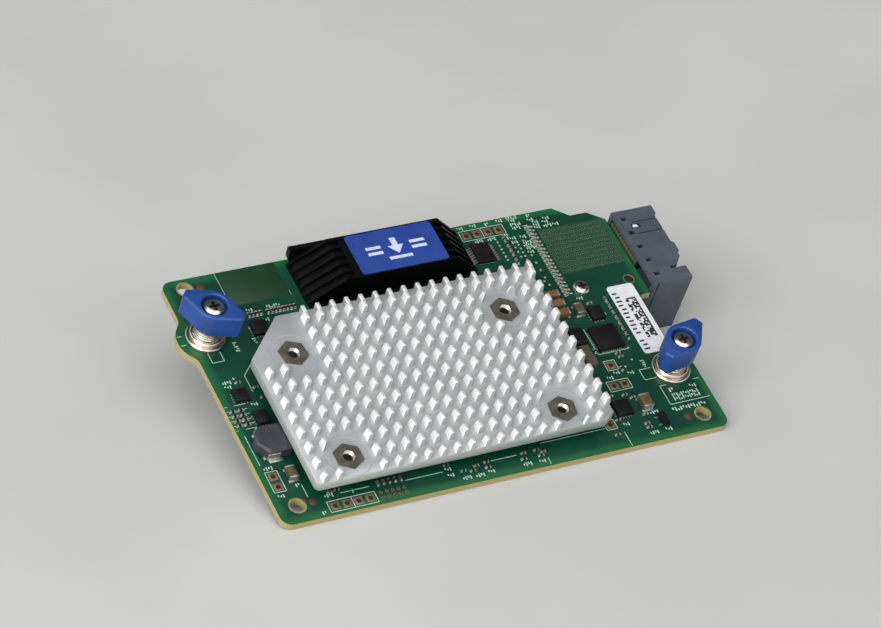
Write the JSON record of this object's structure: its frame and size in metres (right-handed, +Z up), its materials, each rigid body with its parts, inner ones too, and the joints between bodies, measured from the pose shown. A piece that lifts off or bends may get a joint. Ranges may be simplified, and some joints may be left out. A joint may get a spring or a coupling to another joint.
{
  "type": "fibre channel host bus adapter",
  "caption": "Blade-server mezzanine card with a pin-fin heat sink, ribbed press cap, right-angle midplane connector and spring-loaded captive thumbscrews with lozenge knobs.",
  "frame": {"origin": "midway between the two front tooling holes, on the component face of the board", "axes": "+X along the front edge towards the midplane connector, +Y from the front edge to the back edge, +Z up out of the component face"},
  "size_m": [0.1134, 0.0628, 0.0235],
  "materials": {
    "solder_mask": "green solder mask over glass laminate",
    "bare_aluminium": "bare satin",
    "zinc_steel": "dull zinc",
    "bright_steel": "bright plated",
    "nickel": "satin nickel",
    "spring_steel": "plain",
    "blue_plastic": "moulded, lightly grained",
    "black_plastic": "moulded, satin",
    "slate_plastic": "moulded, satin",
    "tan_plastic": "moulded",
    "gold_contact": "gold flash",
    "chip_black": "moulding compound",
    "ferrite": "matt ferrite",
    "choke_grey": "matt ferrite",
    "capacitor_brown": "fired ceramic",
    "tin": "tinned",
    "substrate": "laminate",
    "lid_metal": "nickel plated",
    "pad_grey": "soft",
    "blue_paper": "printed, satin",
    "white_paper": "printed, satin"
  },
  "bodies": {
    "card": {"circuit_board": "solder_mask", "heat_sink": "bare_aluminium", "heat_sink_standoffs": "zinc_steel", "heat_sink_screws": "bright_steel", "controller_package": "substrate", "controller_lid": "lid_metal", "thermal_pad": "pad_grey", "press_cap": "black_plastic", "press_label": "blue_paper", "mezzanine_plug": "black_plastic", "mezzanine_contacts": "gold_contact", "midplane_housing": "slate_plastic", "midplane_wafers": "tan_plastic", "connector_screw": "bright_steel", "left_ferrule": "nickel", "right_ferrule": "nickel", "power_inductor": "ferrite", "inductor_tabs": "tin", "leadless_chips": "chip_black", "small_choke": "choke_grey", "memory_chip": "chip_black", "memory_leads": "tin", "transistor": "chip_black", "transistor_leads": "tin", "ceramic_capacitors": "capacitor_brown", "capacitor_ends": "tin", "chip_resistors": "chip_black", "resistor_ends": "tin", "serial_label": "white_paper"},
    "left_plunger": {"left_spring": "spring_steel"},
    "left_thumbscrew": {"left_knob": "blue_plastic", "left_screw": "bright_steel"},
    "right_plunger": {"right_spring": "spring_steel"},
    "right_thumbscrew": {"right_knob": "blue_plastic", "right_screw": "bright_steel"}
  },
  "joints": [
    {"name": "left_press", "type": "slide", "parent": "card", "child": "left_plunger", "axis": [0, 0, 1], "range_m": [-0.0026, 0], "stiffness_N_per_m": 400, "springref_m": 0.002, "deforming": ["left_spring"]},
    {"name": "left_turn", "type": "hinge", "parent": "left_plunger", "child": "left_thumbscrew", "pos_m": [-0.0469, 0.04335, 0], "axis": [0, 0, 1], "continuous": true},
    {"name": "right_press", "type": "slide", "parent": "card", "child": "right_plunger", "axis": [0, 0, 1], "range_m": [-0.0026, 0], "stiffness_N_per_m": 400, "springref_m": 0.002, "deforming": ["right_spring"]},
    {"name": "right_turn", "type": "hinge", "parent": "right_plunger", "child": "right_thumbscrew", "pos_m": [0.0446, 0.01225, 0], "axis": [0, 0, 1], "continuous": true}
  ]
}
